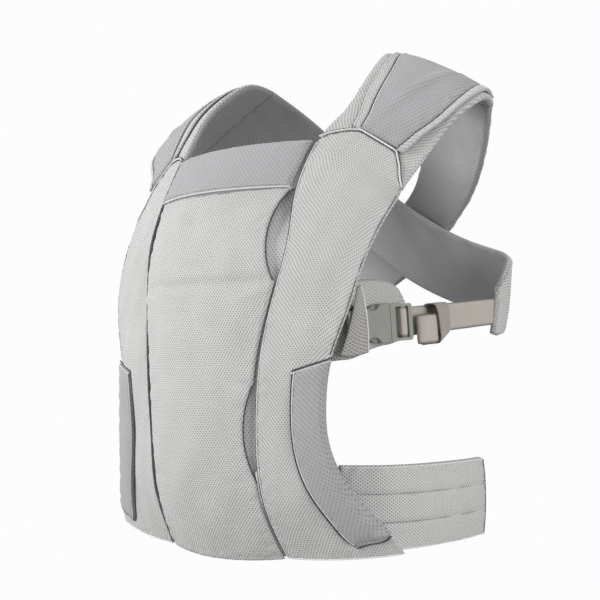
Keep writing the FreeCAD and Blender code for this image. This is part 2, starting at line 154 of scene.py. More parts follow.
def mesh_fabric(name, colour, pitch, hole, depth, yarn=0.05):
    """Knitted or perforated mesh: staggered holes, yarn ribs, uneven dye and painted shade near seams."""
    material, tree = new_material(name)
    uv = tree.nodes.new("ShaderNodeTexCoord").outputs["UV"]
    distance = lattice_distance(tree, uv, pitch)
    open_part = ramp(tree, distance, hole * 0.55, hole * 1.45, 1, 0)
    ring = ramp(tree, distance, hole * 1.2, min(pitch) * 0.62, 0, 1)
    fine = noise(tree, uv, 1400, 1)
    broad = noise(tree, uv, 22, 3)
    factor = product(
        tree,
        math_node(tree, "SUBTRACT", 1, product(tree, open_part, depth)),
        ramp(tree, ring, 0, 1, 0.97, 1.03),
        noise_shade(tree, fine, 1.0 - yarn, 1.0 + yarn),
        noise_shade(tree, broad, 0.975, 1.02),
        # painted shade near seams
        painted_seam_shade(tree, 0.004),
    )
    height = math_node(tree, "SUBTRACT", product(tree, fine, 0.25), open_part)
    height = math_node(tree, "ADD", height, product(tree, ring, 0.3))
    return finish_shader(material, factor, height, colour, 0.0007, 0.92, 0.25)


def woven_fabric(name, colour, rib, strength=0.10):
    """Webbing or elastic: fine ribs across the length with a twill slant."""
    material, tree = new_material(name)
    uv = tree.nodes.new("ShaderNodeTexCoord").outputs["UV"]
    split = tree.nodes.new("ShaderNodeSeparateXYZ")
    tree.links.new(uv, split.inputs[0])
    across, along = split.outputs["X"], split.outputs["Y"]
    slant = math_node(tree, "ADD", across, product(tree, along, 0.6))
    wave = math_node(tree, "SINE", product(tree, slant, math.tau / rib))
    cross = math_node(tree, "SINE", product(tree, along, math.tau / (rib * 1.6)))
    weave = product(tree, wave, cross)
    factor = product(
        tree,
        ramp(tree, weave, -1, 1, 1.0 - strength, 1.0 + strength * 0.6),
        noise_shade(tree, noise(tree, uv, 1800, 1), 0.95, 1.05),
        noise_shade(tree, noise(tree, uv, 40), 0.97, 1.03),
        # painted shade near seams
        painted_seam_shade(tree, 0.0015),
    )
    return finish_shader(material, factor, weave, colour, 0.0003, 0.78, 0.35)


def thread_fabric(name, colour):
    """Binding tape, piping, sewing thread, and the painted shadow cords along seams."""
    material, tree = new_material(name)
    place = tree.nodes.new("ShaderNodeTexCoord").outputs["Object"]
    fine = noise(tree, place, 900)
    broad = noise(tree, place, 60)
    factor = product(tree, noise_shade(tree, fine, 0.88, 1.06), noise_shade(tree, broad, 0.97, 1.02))
    return finish_shader(material, factor, fine, colour, 0.0004, 0.85, 0.3)


def moulded_plastic(name, colour):
    """Fine spark-eroded texture, faint flow shading, sharp edges a little lighter and painted shade in the
    hollows.
    """
    material, tree = new_material(name)
    place = tree.nodes.new("ShaderNodeTexCoord").outputs["Object"]
    fine = noise(tree, place, 2600)
    broad = noise(tree, place, 90, 3)
    edge = tree.nodes.new("ShaderNodeNewGeometry").outputs["Pointiness"]
    factor = product(
        tree,
        noise_shade(tree, broad, 0.96, 1.03),
        # lighter on sharp edges and darker in hollows: painted shade in the hollows
        ramp(tree, edge, 0.48, 0.56, 0.95, 1.10),
        noise_shade(tree, fine, 0.97, 1.03),
    )
    return finish_shader(material, factor, fine, colour, 0.00012, 0.48, 0, bump=0.5, specular=0.45)


LIGHT_MESH = mesh_fabric("air_mesh_light", (0.565, 0.563, 0.552), (0.0034, 0.0046), 0.00078, 0.44)
DARK_MESH = mesh_fabric("spacer_mesh_dark", (0.365, 0.365, 0.375), (0.0046, 0.0054), 0.00052, 0.5, 0.03)
LINING_MESH = mesh_fabric("lining_mesh", (0.76, 0.76, 0.77), (0.0042, 0.0054), 0.00062, 0.62, 0.02)
# Buckle cover mesh: its own coarser holes, and darker than the light air mesh it matches, which is painted
# shade.
SLEEVE_MESH_PAINTED_SHADE = mesh_fabric("sleeve_mesh_painted_shade", (0.41, 0.40, 0.39), (0.0036, 0.0042), 0.00080, 0.42, 0.04)
FLAP_MESH = mesh_fabric("band_mesh", (0.50, 0.494, 0.478), (0.0036, 0.0046), 0.00085, 0.36, 0.04)
PIPING = thread_fabric("piping_light", (0.66, 0.66, 0.65))
BINDING = thread_fabric("binding_grey", (0.42, 0.42, 0.42))
# Near-black cords: painted shadow in seam crevices, along slit edges and in quilt channels.
PAINTED_SEAM_SHADOW = thread_fabric("painted_seam_shadow", (0.07, 0.07, 0.075))
THREAD = thread_fabric("thread_grey", (0.50, 0.50, 0.49))
WEBBING = woven_fabric("webbing_greige", (0.50, 0.45, 0.405), 0.0011)
ELASTIC = woven_fabric("elastic_greige", (0.36, 0.318, 0.285), 0.0008, 0.06)
PLASTIC = moulded_plastic("buckle_plastic", (0.245, 0.247, 0.225))
# Darker copy of the buckle plastic for the prongs: painted shade of the recesses round them.
PRONG_PAINTED_SHADE = moulded_plastic("buckle_plastic_painted_shade", (0.16, 0.162, 0.147))


# -------- smooth surfaces
def spline(knots, values):
    """Natural cubic spline through vector values; returns a function of the knot variable."""
    knots = np.asarray(knots, float)
    values = np.asarray(values, float)
    count = len(knots)
    step = np.diff(knots)
    flat = values.reshape(count, -1)
    system = np.zeros((count, count))
    target = np.zeros_like(flat)
    system[0, 0] = system[-1, -1] = 1
    for i in range(1, count - 1):
        system[i, i - 1 : i + 2] = step[i - 1], 2 * (step[i - 1] + step[i]), step[i]
        target[i] = 6 * ((flat[i + 1] - flat[i]) / step[i] - (flat[i] - flat[i - 1]) / step[i - 1])
    bend = np.linalg.solve(system, target)

    def at(t):
        t = np.asarray(t, float)
        i = np.clip(np.searchsorted(knots, t) - 1, 0, count - 2)
        width = step[i][..., None]
        low = (t - knots[i])[..., None]
        high = (knots[i + 1] - t)[..., None]
        cubic = (bend[i] * high**3 + bend[i + 1] * low**3) / (6 * width)
        line = (flat[i] / width - bend[i] * width / 6) * high
        line = line + (flat[i + 1] / width - bend[i + 1] * width / 6) * low
        return (cubic + line).reshape(t.shape + values.shape[1:])

    return at


def through(points):
    """Smooth function through (x, y) pairs, level beyond the first and the last."""
    knots = [x for x, _ in points]
    curve = spline(knots, [[y] for _, y in points])
    return lambda t: curve(np.clip(t, knots[0], knots[-1]))[..., 0]


def stepwise(points):
    """Straight-line interpolation between (x, y) pairs."""
    knots = [x for x, _ in points]
    values = [y for _, y in points]
    return lambda t: np.interp(t, knots, values)


def edge_values(edge, at):
    """An edge is a plain number or a function."""
    return edge(at) if callable(edge) else np.full_like(at, float(edge))


def edge_line(edge, rows, shift=0):
    """(share, row) pairs along an edge that gives the share across for each row."""
    return [(float(edge(np.array(row))) + shift, float(row)) for row in rows]


def lengthways(share, first, last, count):
    """(share, row) pairs along a surface at one share across."""
    return [(share, row) for row in np.linspace(first, last, count)]


class Surface:
    """Smooth sheet in millimetres. u runs across from 0 to 1, v counts the rows.

    A row is (start, end, (outward, bulge)) or (start, end, point between them).
    """

    def __init__(self, rows, side=1, facing=1):
        control = []
        for start, end, third in rows:
            start = np.array(start, float)
            end = np.array(end, float)
            if len(third) == 2:
                along = (end - start) / np.linalg.norm(end - start)
                out = np.array(third[0], float)
                out = out - along * (out @ along)
                middle = (start + end) / 2 + out / np.linalg.norm(out) * third[1]
                share = 0.5
            else:
                middle = np.array(third, float)
                first = np.linalg.norm(middle - start)
                share = first / (first + np.linalg.norm(end - middle))
            control.append(np.concatenate([start, middle, end, [share]]))
        control = np.array(control)
        control[:, [0, 3, 6]] *= side
        steps = np.linalg.norm(np.diff(control[:, 3:6], axis=0), axis=1)
        self.knots = np.concatenate([[0], np.cumsum(steps)])
        self.last = len(rows) - 1
        self.side = side * facing
        self.curve = spline(self.knots, control)

    def point(self, u, v):
        u = np.asarray(u, float)
        row = self.curve(np.interp(v, np.arange(self.last + 1), self.knots))
        start, middle, end, share = row[..., 0:3], row[..., 3:6], row[..., 6:9], row[..., 9]
        of_start = (u - share) * (u - 1) / share
        of_middle = u * (u - 1) / (share * (share - 1))
        of_end = u * (u - share) / (1 - share)
        return of_start[..., None] * start + of_middle[..., None] * middle + of_end[..., None] * end

    def normal(self, u, v):
        small = 0.01
        across = self.point(u + small, v) - self.point(u - small, v)
        ahead = self.point(u, np.minimum(v + small, self.last)) - self.point(u, np.maximum(v - small, 0))
        found = np.cross(across, ahead) * self.side
        return found / np.linalg.norm(found, axis=-1, keepdims=True)

    def patch(self, left, right, low, high, across, along):
        """(u, v) grids between four edges; left and right are functions of v, low and high of u."""
        s, t = np.meshgrid(np.linspace(0, 1, across), np.linspace(0, 1, along))
        bottom, top = edge_values(low, s), edge_values(high, s)
        v = bottom + (top - bottom) * t
        first, last = edge_values(left, v), edge_values(right, v)
        return first + (last - first) * s, v

    def path(self, points, lift, count):
        """Points along a smooth line through (u, v) pairs, lifted off the surface."""
        points = np.array(points, float)
        if len(points) == 2:
            pairs = points[0] + (points[1] - points[0]) * np.linspace(0, 1, count)[:, None]
        else:
            pairs = spline(np.arange(len(points)), points)(np.linspace(0, len(points) - 1, count))
        u, v = pairs[:, 0], np.clip(pairs[:, 1], 0, self.last)
        return self.point(u, v) + self.normal(u, v) * lift


def ripple(points, size, scale=60, seed=0):
    """Soft uneven hand of cloth, a few seeded waves, in millimetres."""
    draw = np.random.RandomState(seed)
    total = np.zeros(points.shape[:-1])
    for _ in range(7):
        direction = draw.normal(size=3)
        direction /= np.linalg.norm(direction)
        wave = scale * (0.5 + draw.rand())
        phase = draw.rand() * 6.28
        total += np.sin(points @ direction * math.tau / wave + phase)
    return total * size / 3.0


# -------- mesh making
# Materials of seams, stitches and painted seam shadows, and their numbers in the same order.
TRIM = [PIPING, PAINTED_SEAM_SHADOW, THREAD, BINDING]
LIGHT, SHADOW, SEWN, TAPE = range(4)
# Distance from a seam, in metres, that cords and stitches count as.
AWAY_FROM_SEAM = 0.01
# Sewn channels and gathers beside seams, in millimetres.
CHANNEL_HALF = 2.6
GATHER_WAVES = (9, 16)
GATHER_FROM_SEAM = 5
GATHER_HALF = 6
# Share of the outer face's puff that the inner face has.
INNER_PUFF = 0.4


def new_object(name, data):
    item = bpy.data.objects.new(name, data)
    bpy.context.scene.collection.objects.link(item)
    return item


class Bag:
    """Collects mesh parts that become one object."""

    def __init__(self):
        self.points, self.faces, self.uvs, self.seams, self.slots = [], [], [], [], []

    def add_faces(self, faces, base, slot):
        self.faces.extend(tuple(base + i for i in face) for face in faces)
        self.slots.extend([slot] * len(faces))

    def add(self, points, faces, uvs=None, seams=None, slot=0):
        """Adds points with their faces and returns the number of the first point."""
        base = len(self.points)
        self.points.extend(np.asarray(points, float))
        self.uvs.extend(uvs if uvs is not None else [(0, 0)] * len(points))
        self.seams.extend(seams if seams is not None else [AWAY_FROM_SEAM] * len(points))
        self.add_faces(faces, base, slot)
        return base

    def make(self, name, materials):
        mesh = bpy.data.meshes.new(name)
        mesh.from_pydata([tuple(p * MM) for p in self.points], [], self.faces)
        for material in materials:
            mesh.materials.append(material)
        mesh.polygons.foreach_set("material_index", self.slots)
        mesh.polygons.foreach_set("use_smooth", [True] * len(self.faces))
        layer = mesh.uv_layers.new(name="UVMap")
        loops = np.empty(len(mesh.loops), int)
        mesh.loops.foreach_get("vertex_index", loops)
        layer.data.foreach_set("uv", np.array(self.uvs, float)[loops].ravel())
        seam = mesh.attributes.new("seam", "FLOAT", "POINT")
        seam.data.foreach_set("value", np.array(self.seams, float))
        mesh.update()
        return new_object(name, mesh)


def grid_normals(points, outward):
    """Unit normals on the outward side of a grid, and whether the grid's own order faces that way."""
    found = np.cross(np.gradient(points, axis=1), np.gradient(points, axis=0))
    found /= np.linalg.norm(found, axis=-1, keepdims=True) + 1e-12
    middle = found[found.shape[0] // 2, found.shape[1] // 2]
    facing = middle @ np.array(outward, float) > 0
    return (found if facing else -found), facing


def arc_lengths(points, axis=0):
    """Distance along a row of points, or along each row or column of a grid."""
    steps = np.linalg.norm(np.diff(points, axis=axis), axis=-1)
    start = np.zeros_like(np.take(steps, [0], axis=axis))
    return np.concatenate([start, np.cumsum(steps, axis=axis)], axis=axis)


def grid_faces(index, turned):
    """Four-sided faces over a table of point numbers."""
    corners = [index[:-1, :-1], index[:-1, 1:], index[1:, 1:], index[1:, :-1]]
    if turned:
        corners.reverse()
    return np.stack([corner.ravel() for corner in corners], -1).tolist()


def rise(distance, reach):
    """0 at a seam, growing to 1 where the distance is reach."""
    return np.clip(distance / reach, 0, 1)


def cushion(bag, points, outward, thick, rim=3, crown=0, reach=30, lift=0,
            channels=(), groove=1.5, slots=(0, 0), rough=0, seed=0, pucker=0):
    """Closed soft sheet or pad whose outer face lies on the points; edges roll over with radius rim.

    crown puffs the outer face up, away from its edges; channels are sewn lines at shares across.
    """
    normals, facing = grid_normals(points, outward)
    across = arc_lengths(points, 1)
    along = arc_lengths(points, 0)
    to_side = np.minimum(across, across[:, -1:] - across)
    to_end = np.minimum(along, along[-1:] - along)
    edge = np.minimum(to_side, to_end)
    roll = np.sqrt(np.clip(1 - (1 - rise(edge, rim)) ** 2, 0, 1))
    puff = crown * (1 - (1 - rise(edge, reach)) ** 2)
    for share in channels:
        gap = np.abs(across - across[:, -1:] * share)
        puff = puff - groove * np.exp(-((gap / CHANNEL_HALF) ** 2)) * rise(edge, 8)
    uneven = ripple(points, rough, seed=seed) * rise(edge, 15)
    gather = sum(ripple(points, pucker, wave, seed + 1 + i) for i, wave in enumerate(GATHER_WAVES))
    band = np.exp(-(((edge - GATHER_FROM_SEAM) / GATHER_HALF) ** 2))
    uneven = uneven + gather * band * rise(edge, 2)
    middle = points + normals * (lift - thick / 2)
    outer = middle + normals * (roll * thick / 2 + puff + uneven)[..., None]
    inner = middle - normals * (roll * thick / 2 + puff * INNER_PUFF - uneven)[..., None]
    rows, columns = edge.shape
    uvs = np.stack([across, along[:, [columns // 2]] + np.zeros_like(across)], -1) * MM
    front = np.arange(rows * columns).reshape(rows, columns)
    inside = np.zeros((rows, columns), bool)
    inside[1:-1, 1:-1] = True
    back = front.copy()
    back[inside] = rows * columns + np.arange(inside.sum())
    all_points = np.concatenate([outer.reshape(-1, 3), inner[inside]])
    all_uvs = np.concatenate([uvs.reshape(-1, 2), uvs[inside]])
    all_seams = np.concatenate([edge.ravel(), edge[inside]]) * MM
    base = bag.add(all_points, grid_faces(front, not facing), all_uvs.tolist(), all_seams.tolist(), slots[0])
    bag.add_faces(grid_faces(back, facing), base, slots[1])


def tube(bag, path, radius, slot, sides=8):
    """Round cord along a path in millimetres."""
    tangent = np.gradient(path, axis=0)
    tangent /= np.linalg.norm(tangent, axis=1, keepdims=True) + 1e-12
    side = np.cross(tangent[0], (0.31, 0.22, 0.93))
    turn = np.linspace(0, math.tau, sides, endpoint=False)[:, None]
    rings = []
    for point, ahead in zip(path, tangent):
        side = side - ahead * (side @ ahead)
        side = side / np.linalg.norm(side)
        up = np.cross(ahead, side)
        rings.append(point + (np.cos(turn) * side + np.sin(turn) * up) * radius)
    faces = []
    for low in range(0, (len(path) - 1) * sides, sides):
        for j in range(sides):
            k = (j + 1) % sides
            faces.append((low + j, low + k, low + sides + k, low + sides + j))
    faces.append(tuple(range(sides))[::-1])
    faces.append(tuple((len(path) - 1) * sides + j for j in range(sides)))
    bag.add(np.concatenate(rings), faces, slot=slot)


def read(source, key, count):
    values = np.empty(count)
    source.foreach_get(key, values)
    return values


def relax(piece, hold, pressure, cap):
    """Cloth simulation of a padded piece; vertices nearer than hold to a seam stay put.

    No vertex moves further than cap, in millimetres.
    """
    frames = 18
    mesh = piece.data
    count = len(mesh.vertices)
    before = read(mesh.vertices, "co", count * 3)
    seam = read(mesh.attributes["seam"].data, "value", count)
    group = piece.vertex_groups.new(name="sewn")
    group.add([int(i) for i in np.nonzero(seam < hold * MM)[0]], 1, "REPLACE")
    cloth = piece.modifiers.new("cloth", "CLOTH")
    settings = cloth.settings
    settings.quality = 6
    settings.mass = 0.25
    settings.tension_stiffness = settings.compression_stiffness = 12.0
    settings.bending_stiffness = 0.6
    settings.use_pressure = True
    settings.uniform_pressure_force = pressure
    settings.vertex_group_mass = "sewn"
    settings.effector_weights.gravity = 0.0
    cloth.collision_settings.use_collision = False
    cloth.point_cache.frame_end = frames
    scene = bpy.context.scene
    for number in range(1, frames + 1):
        scene.frame_set(number)
    ready = piece.evaluated_get(bpy.context.evaluated_depsgraph_get())
    after = read(ready.data.vertices, "co", count * 3)
    piece.modifiers.remove(cloth)
    piece.vertex_groups.remove(group)
    scene.frame_set(1)
    move = (after - before).reshape(-1, 3)
    size = np.linalg.norm(move, axis=1, keepdims=True) + 1e-12
    move *= np.minimum(1, cap * MM / size)
    mesh.vertices.foreach_set("co", before + move.ravel())
    mesh.update()


def fold(points, normals, centre, direction, length, width, depth):
    """Presses a soft valley, or raises a ridge where depth is negative, into a grid of points."""
    direction = np.array(direction, float) / np.linalg.norm(direction)
    gap = points - np.array(centre, float)
    along = gap @ direction
    off = gap - along[..., None] * direction
    off = off - (off * normals).sum(-1, keepdims=True) * normals
    away = np.linalg.norm(off, axis=-1)
    press = depth * np.exp(-((along / length) ** 2) - (away / width) ** 2)
    return points - normals * press[..., None]


def on_surface(bag, surface, edges, counts, thick, creases=(), **shape):
    """Cushion over the part of a surface between four edges; returns the grid of points."""
    u, v = surface.patch(*edges, *counts)
    points = surface.point(u, v)
    for crease in creases:
        points = fold(points, surface.normal(u, v), *crease)
    outward = surface.normal(np.array(u.mean()), np.array(v.mean()))
    cushion(bag, points, outward, thick, **shape)
    return points


def cloth_piece(name, surface, edges, counts, thick, nodes, cloth, swell=None, **shape):
    """Soft piece on the carrier that stands for the CAD nodes; returns it with its grid of points."""
    bag = Bag()
    grid = on_surface(bag, surface, edges, counts, thick, **shape)
    slot, *materials = cloth
    piece = bag.make(name, materials)
    if swell:
        relax(piece, **swell)
    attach(piece, "carrier")
    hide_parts(*nodes)
    return piece, grid


def pad_piece(*place, fill, **shape):
    """Cloth piece with padding."""
    piece, _ = cloth_piece(*place, **shape)


def sheet_piece(*place, **shape):
    """Stretched cloth piece."""
    piece, grid = cloth_piece(*place, **shape)


# Slot and materials of each cloth; the strap's second material is its inside.
LIGHT_CLOTH = ("air_mesh_light", LIGHT_MESH)
STRAP_CLOTH = ("air_mesh_light", LIGHT_MESH, DARK_MESH)
DARK_CLOTH = ("spacer_mesh_dark", DARK_MESH)


def trim_piece(name, bag, materials=TRIM):
    """Seams, stitches, bindings and painted seam shadows on the carrier."""
    piece = bag.make(name, materials)
    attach(piece, "carrier")


def cord(bag, surface, line, lift, radius, kind, count):
    """Piping, tape or seam shadow along a line of (u, v) pairs."""
    tube(bag, surface.path(line, lift, count), radius, kind)


def sew(bag, surface, line, lift, count, length=3, gap=1.4, radius=0.42):
    """Row of stitches, short lengths of thread, along a line of (u, v) pairs."""
    path = surface.path(line, lift, count)
    run = arc_lengths(path)
    start = 0.5
    while start + length < run[-1]:
        ends = np.linspace(start, start + length, 4)
        thread = np.stack([np.interp(ends, run, path[:, k]) for k in range(3)], 1)
        tube(bag, thread, radius, SEWN, sides=5)
        start += length + gap


# -------- centre panel, lining, head support
FRONT = (0, -1, 0)
# Height, half width, depth of the sides and depth of the middle.
PANEL = [
    (1, 80.5, -119, -135),
    (40, 77, -142, -158),
    (120, 74.5, -161, -178),
    (210, 80, -162, -180),
    (320, 99, -144, -167),
    (383.5, 95.4, -125.2, -151.5),
]
LINING = [
    (18, 88, -114, -133),
    (60, 90, -137, -158.5),
    (120, 91, -147, -169.5),
    (210, 95, -149.5, -171.5),
    (310, 108, -134, -159.5),
    (382, 102, -110, -140),
]
HEAD = [
    (380, 94.2, -127.8, -155),
    (410, 96.5, -109.5, -136),
    (436, 98, -93, -117),
]
# Open side slits: lowest, widest and highest point and how far the panel edge pulls in.
SLITS = [(80, 128, 180, 9), (282, 332, 381, 18)]
RIGHT_SLIT_SHARE = 0.15
LEFT_GAP = 0.6
RIGHT_GAP = 0.3
# Folds of the panel: centre, direction, length, width and depth. The first ones are the same on both sides.
SIDE_CREASES = [
    ((82, -166, 284), (1, 0, 0.02), 46, 4.5, 2),
    ((78, -166, 272), (1, 0, 0.35), 30, 4, -1),
    ((78, -166, 296), (1, 0, -0.3), 26, 4, -0.9),
    ((72, -170, 82), (1, 0, 0.15), 26, 4, 1.3),
    ((72, -170, 178), (1, 0, -0.2), 24, 4, 1.2),
]
MIDDLE_CREASES = [
    ((0, -176, 283), (1, 0, 0), 75, 5, 1.3),
    ((0, -170, 292), (1, 0, 0), 65, 6, -0.8),
    ((30, -160, 360), (1, 0, 0.25), 45, 7, 1),
    ((-35, -160, 352), (1, 0, -0.3), 40, 8, 1),
]


def spread(rows, lowest_out=FRONT):
    """Rows of a sheet that lies the same on both sides of the middle."""
    outward = [lowest_out] + [FRONT] * (len(rows) - 1)
    return [((-w, y, z), (w, y, z), (out, y - front)) for out, (z, w, y, front) in zip(outward, rows)]


def slit_pull(height):
    """How far the panel's edge pulls in at a height, in millimetres."""
    pull = np.zeros_like(height)
    for low, wide, high, depth in SLITS:
        rising = np.clip((height - low) / (wide - low), 0, 1)
        falling = np.clip((high - height) / (high - wide), 0, 1)
        pull = pull + depth * (1 - (1 - np.minimum(rising, falling)) ** 2)
    return pull


def left_panel_edge(v):
    edge = centre.point(np.ones_like(v), v)
    return 1 - (slit_pull(edge[..., 2]) + LEFT_GAP) / (2 * edge[..., 0])


def right_panel_edge(v):
    edge = centre.point(np.ones_like(v), v)
    return (slit_pull(edge[..., 2]) * RIGHT_SLIT_SHARE + RIGHT_GAP) / (2 * edge[..., 0])


def mirrored(crease, sign):
    """A crease on the left side (1) or the right side (-1)."""
    (x, *place), (run, *slope), *size = crease
    return ((x * sign, *place), (run * sign, *slope), *size)


centre = Surface(spread(PANEL, (0, -1, -0.35)))
creases = [mirrored(crease, sign) for sign in SIDES.values() for crease in SIDE_CREASES]
pad_piece(
    "centre_panel", centre, (right_panel_edge, left_panel_edge, 0, 5), (80, 210), 5,
    ["center_panel"], LIGHT_CLOTH, fill=0.15,
    rim=2.6, rough=0.7, seed=3, creases=creases + MIDDLE_CREASES, pucker=0.35,
)
bag = Bag()
for low, _, high, _ in SLITS:
    heights = np.linspace(low + 2, high - 2, 24)
    rows = np.interp(heights, [row[0] for row in PANEL], np.arange(len(PANEL)))
    for edge, inset in ((left_panel_edge, -0.0015), (right_panel_edge, 0.0015)):
        # Dark cords along the slit edges: painted shadow.
        cord(bag, centre, edge_line(edge, rows, inset), -1.6, 0.7, SHADOW, 80)
trim_piece("slit_edge_painted_shadows", bag)
sheet_piece(
    "inner_lining_cloth", Surface(spread(LINING)), (0, 1, 0, 5), (40, 90), 1.6,
    ["inner_lining"], ("lining_mesh", LINING_MESH), rim=1, rough=0.3, seed=4,
)

head = Surface(spread(HEAD))
bag = Bag()
on_surface(bag, head, (0.004, 0.996, 0, 2), (80, 44), 9,
           rim=4.5, crown=2.2, reach=22, lift=1.6, rough=0.7, seed=6, pucker=0.3)
head_pad = bag.make("head_support_pad", [DARK_MESH])
relax(head_pad, hold=4, pressure=3, cap=3)
bag = Bag()
cord(bag, head, [(0.006, 0.045), (0.994, 0.045)], 1.5, 0.8, LIGHT, 90)
sew(bag, head, [(0.02, 0.12), (0.98, 0.12)], 2.9, 90)
hem = bag.make("head_support_hem", TRIM)
for piece, slot_name in ((head_pad, "spacer_mesh_dark"), (hem, "air_mesh_light")):
    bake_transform(piece)
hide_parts("head_support")

# -------- flanks, leg pads and straps
FRONT_SIDE = (0.42, -0.91, 0)
FLANK = [
    ((82.5, -118.5, 2), (203.5, -85, 15), (167, -97.5, 8)),
    ((78.5, -141, 40), (193.5, -98, 38), (142, -121.5, 40)),
    ((77, -154.5, 75), (168.5, -121.5, 74), (124, -139.8, 75)),
    ((76, -160, 120), (151.5, -138.5, 120), (117, -148, 120)),
    ((78, -162, 160), (149.5, -140.5, 160), (116.5, -151.5, 160)),
    ((81.5, -161.5, 201), (154, -136, 204), (FRONT_SIDE, 4)),
    ((88.5, -156, 250), (169, -128.5, 250), (FRONT_SIDE, 4)),
    ((98, -146.5, 300), (180.5, -115, 302), (FRONT_SIDE, 5)),
    ((101.5, -138, 340), (190, -95, 343), (FRONT_SIDE, 6)),
    ((98.5, -123, 385), (195.5, -81, 364), (FRONT_SIDE, 6)),
    ((101.5, -94.5, 434), (197, -75, 375), (FRONT_SIDE, 4)),
    ((113, -60, 474), (212, -40, 422), ((0.35, -0.75, 0.6), 5)),
    ((116, -38, 502), (226, -25, 449), ((0.4, -0.65, 0.65), 6)),
    ((112, -5, 534), (238, -6, 469), ((0.4, -0.4, 0.85), 6)),
    ((105, 27, 554), (241, 20, 482), ((0.4, -0.1, 0.9), 3.5)),
    ((98, 66, 552), (228, 58, 481), ((0.45, 0.35, 0.85), 3)),
]
STRAP_END = 15.0
# Outer edge of the flank: row, share across.
flank_edge = stepwise([(0, 1), (0.75, 1), (1.1, 0.975), (4.7, 0.975), (5.1, 0.997), (15, 0.997)])
# Seam between flank and strap: share across, row.
strap_seam = stepwise(
    [(0, 10.05), (0.1, 10.28), (0.22, 10.5), (0.32, 10.62), (0.745, 10.6), (0.855, 10.4), (1, 10)]
)
# Lines along the strap: row, share across.
neck_hem = through([(10.53, 0.24), (11.08, 0.175), (12.85, 0.115), (13.88, 0.09), (15, 0.08)])
pad_inner = through([(10.62, 0.32), (11.45, 0.265), (12.48, 0.235), (13.88, 0.16), (15, 0.15)])
pad_outer = through([(10.60, 0.745), (11.1, 0.81), (11.8, 0.885), (12.7, 0.91), (14, 0.90), (15, 0.88)])
tape_outer = through(
    [(10.55, 0.815), (11.08, 0.87), (11.75, 0.94), (12.6, 0.965), (14, 0.965), (15, 0.95)]
)
# Seam on the strap pad and the ridge beside it: share across, row.
PAD_SEAM = [(0.35, 10.8), (0.495, 11.62), (0.62, 12.62), (0.70, 14), (0.72, 14.9)]
PAD_RIDGE = [(0.42, 11.2), (0.68, 13.6)]
# Leg pad: sewn edge (row, share across), then its lower and upper ends (share of its width, row).
leg_seam = through([
    (0.40, 0.665), (0.55, 0.612), (0.75, 0.577), (1.1, 0.555), (1.6, 0.541), (2.3, 0.528), (3.1, 0.521),
    (4.8, 0.515),
])
leg_lower = through([(0, 0.40), (0.45, 0.56), (0.78, 0.68), (1, 0.88)])
leg_upper = through([(0, 4.78), (1, 5.03)])
# Cords beside those lines: line, first and last row, shift across, lift, radius, kind.
EDGE_CORDS = [
    (leg_seam, 0.42, 4.76, 0, 0.4, 0.7, SHADOW),
    (leg_seam, 0.5, 4.74, 0.035, 3, 0.6, LIGHT),
    (neck_hem, 10.6, 14.95, 0, 0.9, 0.7, SHADOW),
    (neck_hem, 10.6, 14.95, 0.016, 3, 0.6, LIGHT),
    (pad_inner, 10.66, 14.95, 0, 2.6, 0.8, SHADOW),
    (pad_inner, 10.7, 14.95, 0.02, 4.6, 0.65, LIGHT),
    (pad_outer, 10.66, 14.95, 0, 3.6, 0.6, SHADOW),
]
ZIGZAG_STEP = 0.075
ZIGZAG_SLANT = 0.05
ZIGZAG_MARGIN = 0.006


def flank_cloth(side, flank):
    """Light mesh of the wing and side panel, and the padded mesh at the leg opening."""
    pad_piece(
        f"{side}_flank_cloth", flank, (0.008, flank_edge, 0, strap_seam), (64, 210), 5,
        [f"{side}_wing", f"{side}_side_panel"], LIGHT_CLOTH, fill=0.15,
        rim=2.4, rough=0.8, seed=11, pucker=0.3,
    )
    pad_piece(
        f"{side}_leg_pad_cloth", flank, (leg_seam, 1, leg_lower, leg_upper), (38, 110), 12,
        [f"{side}_leg_pad"], DARK_CLOTH, fill=0.6,
        rim=5.5, lift=2.4, crown=2.2, reach=16, rough=0.5, seed=13, pucker=0.35,
        swell={"hold": 4, "pressure": 3.5, "cap": 3},
    )


def shoulder_strap(side, flank):
    """Folded strap and the perforated pad on it, with a soft ridge along the pad."""
    pad_piece(
        f"{side}_strap_base", flank, (0.003, 0.997, strap_seam, STRAP_END - 0.02), (64, 110), 8,
        [f"{side}_shoulder_strap"], STRAP_CLOTH, fill=0.35,
        rim=3.6, rough=0.5, seed=17, pucker=0.25, slots=(0, 1), lift=-0.3,
    )
    ridge = flank.path(PAD_RIDGE, 0, 2)
    pad_piece(
        f"{side}_strap_pad", flank, (pad_inner, pad_outer, 10.64, STRAP_END - 0.03), (48, 110), 6,
        [f"{side}_shoulder_pad"], DARK_CLOTH, fill=0.5,
        rim=3, lift=4.2, crown=1.8, reach=20, rough=0.5, seed=19, pucker=0.3,
        creases=[(ridge.mean(axis=0), ridge[1] - ridge[0], 50, 6, -2.2)],
    )


def strap_edges(side, flank):
    """Hem at the neck side, and the binding with zigzag stitching at the outer side."""
    bag = Bag()
    on_surface(bag, flank, (neck_hem, pad_inner, 10.6, STRAP_END - 0.03), (14, 110), 4,
               rim=1.8, lift=3, rough=0.3, seed=23)
    trim_piece(f"{side}_strap_hem", bag, materials=[LIGHT_MESH])
    bag = Bag()
    on_surface(bag, flank, (pad_outer, tape_outer, 10.6, STRAP_END - 0.03), (12, 110), 3.5,
               rim=1.5, lift=4.6, slots=(TAPE, TAPE))
    for row in np.arange(10.68, STRAP_END - 0.06, ZIGZAG_STEP):
        next_row = row + ZIGZAG_SLANT
        first = float(pad_outer(np.array(row))) + ZIGZAG_MARGIN
        last = float(tape_outer(np.array(next_row))) - ZIGZAG_MARGIN
        stroke = flank.path([(first, row), (last, next_row)], 4.7, 5)
        tube(bag, stroke, 0.62, LIGHT, sides=6)
    trim_piece(f"{side}_strap_binding", bag)


